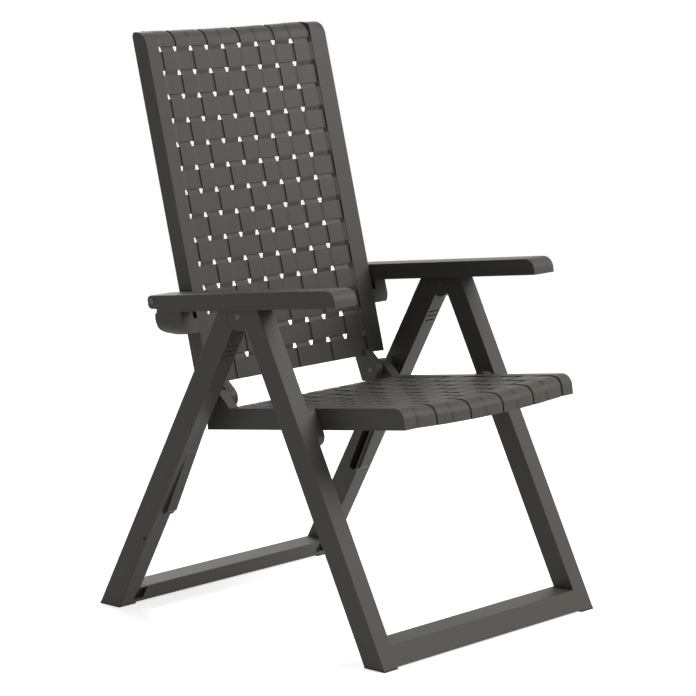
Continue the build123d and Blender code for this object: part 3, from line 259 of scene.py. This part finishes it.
# Solids with the sheet cut out of them or their edges rounded: lengths in metres
CUT = 0.2051                 # the sheets are cut out between x = -CUT and CUT
WELD, ON_PLANE, INSIDE, AT_CUT = 2e-6, 1e-7, 1e-6, 1e-5      # tolerances
FLAT, BEVEL_ANGLE = 0.6, 40  # degrees: joined to one face, and rounded
BEVEL_STEPS, BEVEL_PROFILE = 2, 0.6
RIM_EDGE, KNUCKLE_EDGE, FRAME_EDGE = 0.0009, 0.0007, 0.0006  # widths of the roundings


def rectangle(a0, a1, b0, b1):
    return [(a0, b0), (a1, b0), (a1, b1), (a0, b1)]


def circle(centre, radius, count):
    turns = [2 * pi * i / count for i in range(count)]
    return [(centre[0] + radius * cos(a), centre[1] + radius * sin(a)) for a in turns]


def result_of(o):
    """Mesh of the object with its modifiers applied."""
    bpy.context.view_layer.update()
    depsgraph = bpy.context.evaluated_depsgraph_get()
    return bpy.data.meshes.new_from_object(o.evaluated_get(depsgraph))


def dress(name, bm, material=resin, angle=SHARP):
    """Piece whose shading follows the large faces, so that flats stay flat beside roundings."""
    bmesh.ops.recalc_face_normals(bm, faces=bm.faces)
    for f in bm.faces:
        f.smooth = True
    for e in bm.edges:
        e.smooth = len(e.link_faces) == 2 and e.calc_face_angle(0) < radians(angle)
    m = bpy.data.meshes.new(name)
    bm.to_mesh(m)
    bm.free()
    m.materials.append(material)
    o = bpy.data.objects.new(name, m)
    bpy.context.scene.collection.objects.link(o)
    even = o.modifiers.new("even", "WEIGHTED_NORMAL")
    even.keep_sharp = True
    o.data = result_of(o)
    o.modifiers.clear()
    return o


def solid_copy(node):
    bm = bmesh.new()
    bm.from_mesh(nodes[node].data)
    bmesh.ops.remove_doubles(bm, verts=bm.verts, dist=WELD)
    return bm


def cut_between(bm, half):
    """Take out everything between x = -half and half, and close both sections."""
    for x in (half, -half):
        geom = bm.verts[:] + bm.edges[:] + bm.faces[:]
        bmesh.ops.bisect_plane(bm, geom=geom, plane_co=(x, 0, 0), plane_no=(1, 0, 0), dist=ON_PLANE)
    inner = [f for f in bm.faces if abs(f.calc_center_median().x) < half - INSIDE]
    bmesh.ops.delete(bm, geom=inner, context="FACES")
    for x in (half, -half):
        rim = [e for e in bm.edges
               if e.is_boundary and all(abs(v.co.x - x) < AT_CUT for v in e.verts)]
        bmesh.ops.triangle_fill(bm, edges=rim, use_beauty=True)


def round_edges(bm, width):
    bmesh.ops.dissolve_limit(bm, angle_limit=radians(FLAT), verts=bm.verts, edges=bm.edges)
    sharp = [e for e in bm.edges
             if len(e.link_faces) == 2 and e.calc_face_angle(0) > radians(BEVEL_ANGLE)]
    bmesh.ops.bevel(bm, geom=sharp, offset=width, segments=BEVEL_STEPS, profile=BEVEL_PROFILE,
                    affect="EDGES", clamp_overlap=True, miter_outer="ARC")


def prism(ring, shift):
    """Cutting body: the ring of points, and the same ring moved by shift, in millimetres."""
    bm = bmesh.new()
    near = [bm.verts.new(Vector(p) / METRE) for p in ring]
    far = [bm.verts.new((Vector(p) + Vector(shift)) / METRE) for p in ring]
    bridge(bm, [near, far])
    bmesh.ops.recalc_face_normals(bm, faces=bm.faces)
    return bm


def carve(bm, tools):
    """Subtract every cutting body from the solid."""
    made = []
    for body in [bm] + tools:
        m = bpy.data.meshes.new("carving")
        body.to_mesh(m)
        body.free()
        made.append(bpy.data.objects.new("carving", m))
        bpy.context.scene.collection.objects.link(made[-1])
    for tool in made[1:]:
        cut = made[0].modifiers.new("cut", "BOOLEAN")
        cut.operation = "DIFFERENCE"
        cut.solver = "EXACT"
        cut.object = tool
    out = bmesh.new()
    out.from_mesh(result_of(made[0]))
    for o in made:
        bpy.data.objects.remove(o, do_unlink=True)
    bmesh.ops.remove_doubles(out, verts=out.verts, dist=WELD)
    return out


# From here to the floor, lengths are in millimetres again
# Backrest: rails, ears and knuckles as they are, the outer lower edge of the ears rounded
EAR_X, EAR_Z, EAR_R = 280.0, 528.0, 22.0           # outer face, bottom and rounding of the ears
EAR_Y, EAR_LONG, PAST = 120, 120, 4                # the cut along y, and past the faces
EAR_STEP = 6                                       # degrees
ROLL_END = rectangle(313, 325, 1020, 1051)         # (y, z), where the roll drops at the rear
ROLL_END_X, ROLL_END_WIDE = 204, 14

bm = solid_copy("backrest")
cut_between(bm, CUT)
ear_in, ear_up = EAR_X - EAR_R, EAR_Z + EAR_R
corner = [(ear_in + EAR_R * cos(radians(a)), ear_up - EAR_R * sin(radians(a)))
          for a in range(0, 91, EAR_STEP)]
corner += [(ear_in, EAR_Z - PAST), (EAR_X + PAST, EAR_Z - PAST), (EAR_X + PAST, ear_up)]
tools = [prism([(side * x, EAR_Y, z) for x, z in corner], (0, EAR_LONG, 0)) for side in (1, -1)]
# the rear of the top roll ends level with the woven straps
tools += [prism([(side * ROLL_END_X, y, z) for y, z in ROLL_END], (side * ROLL_END_WIDE, 0, 0))
          for side in (1, -1)]
bm = carve(bm, tools)
round_edges(bm, RIM_EDGE)
back_rails = dress("back_rails", bm)
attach(back_rails, "backrest")

# Backrest: the woven panel, from its foot up, over the top roll and down behind it
BACK_FOOT, BACK_TOP = 434.0, 1067.4
ROLL_R, ROLL_REAR_R, SKIN = 28, 8, 1.5             # roll in front and behind, half the thickness
ROLL_LONG, ROLL_DROP = 34, 12.0
BACK_ROWS, BACK_START, BACK_SHORT = 14, 0.8, 1     # rows of holes, gaps to the foot and the end
BACK_TAIL = 26                                     # no curve stations this near to the end
SWEEP, SWEEP_COLUMN = 13.8, 4.5                    # the sides come forward: how far, and where
HOLLOW = SWEEP / (SWEEP_COLUMN * PITCH_X) ** 2


def back_path():
    up, out = (sin(LEAN), cos(LEAN)), (-cos(LEAN), sin(LEAN))
    r, rear_r = ROLL_R - SKIN, ROLL_REAR_R - SKIN
    zc = BACK_TOP - ROLL_R
    yc = LATTICE[0] + (zc - LATTICE[1]) * tan(LEAN) + r / cos(LEAN)
    rise = (yc - LATTICE[0]) * up[0] + (zc - LATTICE[1]) * up[1]
    low = (LATTICE[1] - BACK_FOOT) / cos(LEAN)
    foot = (LATTICE[0] - low * up[0], LATTICE[1] - low * up[1])
    rear_y = (LATTICE[0] + (BACK_TOP - LATTICE[1]) * tan(LEAN) - SKIN / cos(LEAN)
              + ROLL_LONG - ROLL_REAR_R)
    rear_z = zc + (ROLL_R - ROLL_REAR_R)
    turn = pi / 2 - LEAN
    return low, [
        ("line", low + rise, (foot, up, out)),
        ("arc", r * turn, ((yc, zc), r, pi - LEAN, -turn)),
        ("line", rear_y - yc, ((yc, zc + r), (1, 0), (0, 1))),
        ("arc", rear_r * pi / 2, ((rear_y, rear_z), rear_r, pi / 2, -pi / 2)),
        ("line", ROLL_DROP, ((rear_y + rear_r, rear_z), (0, -1), (1, 0))),
    ]


BACK_LOW, BACK_PATH = back_path()
BACK_LONG = sum(p[1] for p in BACK_PATH)


def back_place(x, s, w):
    """x across, s up from the foot of the panel, w ahead of the lattice plane."""
    y, z = profile_point(BACK_PATH, s, w)
    ahead = HOLLOW * x * x
    return Vector((x, y - ahead * cos(LEAN), z + ahead * sin(LEAN))) / METRE


back_end = BACK_LONG - BACK_SHORT
back_bands = band_list(BACK_LOW, BACK_ROWS, BACK_START, back_end)
back_curve = (BACK_PATH[0][1], BACK_LONG - BACK_TAIL)
weave("back_sheet", back_place, back_bands, BACK_START, back_end, back_curve, "backrest")

# Backrest: inner halves of the knuckles, which were cut out with the panel
KNUCKLE_X = (191.0, 205.6)                         # inner face, and just inside the rail
KNUCKLE, KNUCKLE_R, KNUCKLE_SIDES = (115.0, 411.0), 21, 60   # (y, z) and size of the round end
HINGE, HINGE_R, HINGE_SIDES = (111, 411), 4.05, 32           # (y, z) and size of the bore
HEEL, HEEL_ANGLE = 30, radians(-49)                # corner at the rear, from the hinge
PANEL = rectangle(443, 448, -17.5, 9.3)            # heights, and offsets behind the lattice plane
DIGITS = 4                                         # points equal to this many are one


def at_panel(z, behind):
    up = (z - LATTICE[1] + behind * sin(LEAN)) / cos(LEAN)
    return (LATTICE[0] + up * sin(LEAN) + behind * cos(LEAN), z)


def hull_of(points):
    """Convex outline of the points."""
    points = sorted(set((round(y, DIGITS), round(z, DIGITS)) for y, z in points))

    def half(seq):
        out = []
        for p in seq:
            while len(out) > 1 and ((out[-1][0] - out[-2][0]) * (p[1] - out[-2][1])
                                    - (out[-1][1] - out[-2][1]) * (p[0] - out[-2][0])) <= 0:
                out.pop()
            out.append(p)
        return out[:-1]
    return half(points) + half(points[::-1])


def knuckle_inner(side):
    heel = (HINGE[0] + HEEL * cos(HEEL_ANGLE), HINGE[1] + HEEL * sin(HEEL_ANGLE))
    outline = hull_of(circle(KNUCKLE, KNUCKLE_R, KNUCKLE_SIDES)
                      + [at_panel(z, behind) for z, behind in PANEL] + [heel])
    bore = circle(HINGE, HINGE_R, HINGE_SIDES)
    bm = bmesh.new()
    loops = [[bm.verts.new(Vector((side * x, y, z)) / METRE) for y, z in ring]
             for x in KNUCKLE_X for ring in (outline, bore)]
    for pair in (loops[::2], loops[1::2]):
        bridge(bm, pair, capped=False)
    for pair in (loops[:2], loops[2:]):
        edges = [e for e in bm.edges if any(all(v in loop for v in e.verts) for loop in pair)]
        bmesh.ops.triangle_fill(bm, edges=edges, use_beauty=True)
    round_edges(bm, KNUCKLE_EDGE)
    o = dress("knuckle_inner_" + ("right" if side > 0 else "left"), bm)
    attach(o, "backrest")


for side in (1, -1):
    knuckle_inner(side)
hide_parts("backrest")

# Rear frame: a recess at both ends of the crossbar and a small hole low on each leg
UP_FACE, OFF_FACE = Vector((0, -0.47, 0.88)), Vector((0, -0.88, -0.47))  # of the crossbar
RECESS_AT, RECESS_WIDE = (238, 293.9, 22.5), 25
RECESS = rectangle(-14, 12, 3, -9)                 # up the face, and off it
HOLE_X, HOLE, HOLE_R = 292.5, (235.2, 144.2), 3    # x, then (y, z) and radius
HOLE_SIDES, HOLE_LONG = 20, 6

tools = []
for side in (1, -1):
    x, y, z = RECESS_AT
    foot = Vector((side * x, y, z))
    ring = [foot + UP_FACE * u + OFF_FACE * w for u, w in RECESS]
    tools.append(prism(ring, (side * RECESS_WIDE, 0, 0)))
    ring = [(side * HOLE_X, y, z) for y, z in circle(HOLE, HOLE_R, HOLE_SIDES)]
    tools.append(prism(ring, (side * HOLE_LONG, 0, 0)))
bm = carve(solid_copy("rear_frame"), tools)
round_edges(bm, FRAME_EDGE)
rear_legs = dress("rear_legs", bm)
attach(rear_legs, "rear_frame")
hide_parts("rear_frame")

# Seat: side rims and lugs as they are
bm = solid_copy("seat")
cut_between(bm, CUT)
round_edges(bm, RIM_EDGE)
seat_rims = dress("seat_rims", bm)
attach(seat_rims, "seat")
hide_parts("seat")

# Seat: the woven sheet, from its rear forward, over the nose and down to its rim
SEAT_REAR, SEAT_NOSE, SEAT_RISE = -204.5, 198, 15.2     # ahead of the pivot, and above it
NOSE_R, NOSE_DROP = 22, 16.7
SEAT_ROWS, SEAT_ROW = 9, 376.5                     # rows of holes, and where the front one is
SEAT_BANDS_FROM, SEAT_FROM = -7.5, -7              # rear end of the bands, and of the other straps
SEAT_TAIL = 14                                     # no curve stations this near to the end
SINK = 2.4                                         # the sheet lies lower than the solid
SEAT_HALF = 205.0
DISH, DISH_LONG, DISH_TO, DISH_FADE = 6.0, 150, 402, 34      # depth, grown over, to, faded over
BOW, BOW_FROM, BOW_LONG = 7.0, 380, 50             # forward, from, grown over
DROP, DROP_FROM, DROP_LONG = 4.0, 390, 40          # down, from, grown over
SEAT_AHEAD, SEAT_UP = (-cos(TILT), sin(TILT)), (sin(TILT), cos(TILT))


def seat_path():
    def at(ahead, rise):
        return tuple(p + ahead * a + rise * u for p, a, u in zip(PIVOT, SEAT_AHEAD, SEAT_UP))
    turn, axis = pi / 2, SEAT_RISE - NOSE_R
    down = (-SEAT_UP[0], -SEAT_UP[1])
    return [
        ("line", SEAT_NOSE - SEAT_REAR, (at(SEAT_REAR, SEAT_RISE), SEAT_AHEAD, SEAT_UP)),
        ("arc", NOSE_R * turn, (at(SEAT_NOSE, axis), NOSE_R, pi / 2 - TILT, turn)),
        ("line", NOSE_DROP, (at(SEAT_NOSE + NOSE_R, axis), down, SEAT_AHEAD)),
    ]


SEAT_PATH = seat_path()
SEAT_LONG = sum(p[1] for p in SEAT_PATH)


def seat_sheet_place(x, s, w):
    """Dished in the middle, its nose bowed forward."""
    mid = max(0, 1 - (x / SEAT_HALF) ** 2)
    dish = DISH * mid * ease(s / DISH_LONG)
    fade = 1 if s < DISH_TO else max(0.0, 1 - (s - DISH_TO) / DISH_FADE)
    y, z = profile_point(SEAT_PATH, s, w - SINK - dish * fade)
    bow = BOW * mid * ease((s - BOW_FROM) / BOW_LONG)
    drop = DROP * mid * ease((s - DROP_FROM) / DROP_LONG)
    return Vector((x, y - bow, z - drop)) / METRE


seat_bands = band_list(SEAT_ROW, SEAT_ROWS, SEAT_BANDS_FROM, SEAT_LONG)
seat_curve = (BOW_FROM, SEAT_LONG - SEAT_TAIL)
weave("seat_sheet", seat_sheet_place, seat_bands, SEAT_FROM, SEAT_LONG, seat_curve, "seat")

# Seat: the rear wall between the lugs
WALL = rectangle(-212, -205, -23.5, 12.6)          # ahead of the pivot, and above it
WALL_HALF = 206

bm = bmesh.new()
pivot, ahead, up = (Vector((0, *p)) for p in (PIVOT, SEAT_AHEAD, SEAT_UP))
corners = [pivot + ahead * a + up * u for a, u in WALL]
rings = [[bm.verts.new((c + Vector((x, 0, 0))) / METRE) for c in corners]
         for x in (-WALL_HALF, WALL_HALF)]
bridge(bm, rings, capped=False)
for ring in rings:
    bm.faces.new(ring)
round_edges(bm, FRAME_EDGE)
rear_wall = dress("seat_rear_wall", bm)
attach(rear_wall, "seat")

# Floor, light and camera: lengths in metres
FLOOR_HALF, FLOOR_TONE, FLOOR_ROUGH = 3, 0.9, 0.9
FLOOR_LIFT = 0.72            # the floor looks white where it is lit, and keeps the shadows
SKY = 0.13                   # strength of the white surroundings as a light
LIGHTS = (                   # name, place, target, side, watts
    ("key", (1.9, -3.1, 3.3), (0, 0, 0.6), 2.8, 160),
    ("fill", (-3.5, -1.0, 2.0), (0, 0, 0.5), 2.5, 5),
    ("back", (1.5, 3.4, 2.8), (0, 0, 0.3), 2.5, 80),
)
SENSOR, LENS = 36, 150.48
CAMERA_AT, CAMERA_TURN = (-3.9326, -3.5593, 1.3870), (80.41, 0, -47.89)


def seen_only(tree):
    """1 for what the camera sees directly, mirrored or through something clear."""
    path = shader(tree, "LightPath")
    seen = path.outputs["Is Camera Ray"]
    for ray in ("Is Glossy Ray", "Is Transmission Ray"):
        either = shader(tree, "Math")
        either.operation = "MAXIMUM"
        tree.links.new(seen, either.inputs[0])
        tree.links.new(path.outputs[ray], either.inputs[1])
        seen = either.outputs[0]
    return seen


mesh = bpy.data.meshes.new("floor")
square = rectangle(-FLOOR_HALF, FLOOR_HALF, -FLOOR_HALF, FLOOR_HALF)
mesh.from_pydata([(x, y, 0) for x, y in square], [], [(0, 1, 2, 3)])
floor = bpy.data.objects.new("floor", mesh)
bpy.context.scene.collection.objects.link(floor)
material = bpy.data.materials.new("floor")
material.use_nodes = True
mesh.materials.append(material)
tree = material.node_tree
look = tree.nodes["Principled BSDF"]
look.inputs["Base Color"].default_value = (FLOOR_TONE, FLOOR_TONE, FLOOR_TONE, 1)
look.inputs["Roughness"].default_value = FLOOR_ROUGH
look.inputs["Emission Color"].default_value = (1, 1, 1, 1)
glow = shader(tree, "Math")
glow.operation = "MULTIPLY"
glow.inputs[1].default_value = FLOOR_LIFT
tree.links.new(seen_only(tree), glow.inputs[0])
tree.links.new(glow.outputs[0], look.inputs["Emission Strength"])

world = bpy.data.worlds.new("world")
bpy.context.scene.world = world
world.use_nodes = True
tree = world.node_tree
sky = tree.nodes["Background"]
sky.inputs["Color"].default_value = (1, 1, 1, 1)
level = shader(tree, "MapRange", To_Min=SKY, To_Max=1.0)
tree.links.new(seen_only(tree), level.inputs["Value"])
tree.links.new(level.outputs["Result"], sky.inputs["Strength"])

for name, place, target, side, watts in LIGHTS:
    light = bpy.data.lights.new(name, "AREA")
    light.shape = "RECTANGLE"
    light.size = light.size_y = side
    light.energy = watts
    o = bpy.data.objects.new(name, light)
    o.location = place
    o.rotation_euler = (Vector(target) - Vector(place)).to_track_quat("-Z", "Y").to_euler()
    bpy.context.scene.collection.objects.link(o)

cam = bpy.data.objects.new("camera", bpy.data.cameras.new("camera"))
bpy.context.scene.collection.objects.link(cam)
bpy.context.scene.camera = cam
cam.data.sensor_width = SENSOR
cam.data.lens = LENS
cam.location = CAMERA_AT
cam.rotation_euler = [radians(angle) for angle in CAMERA_TURN]
bpy.context.scene.view_settings.view_transform = "Standard"
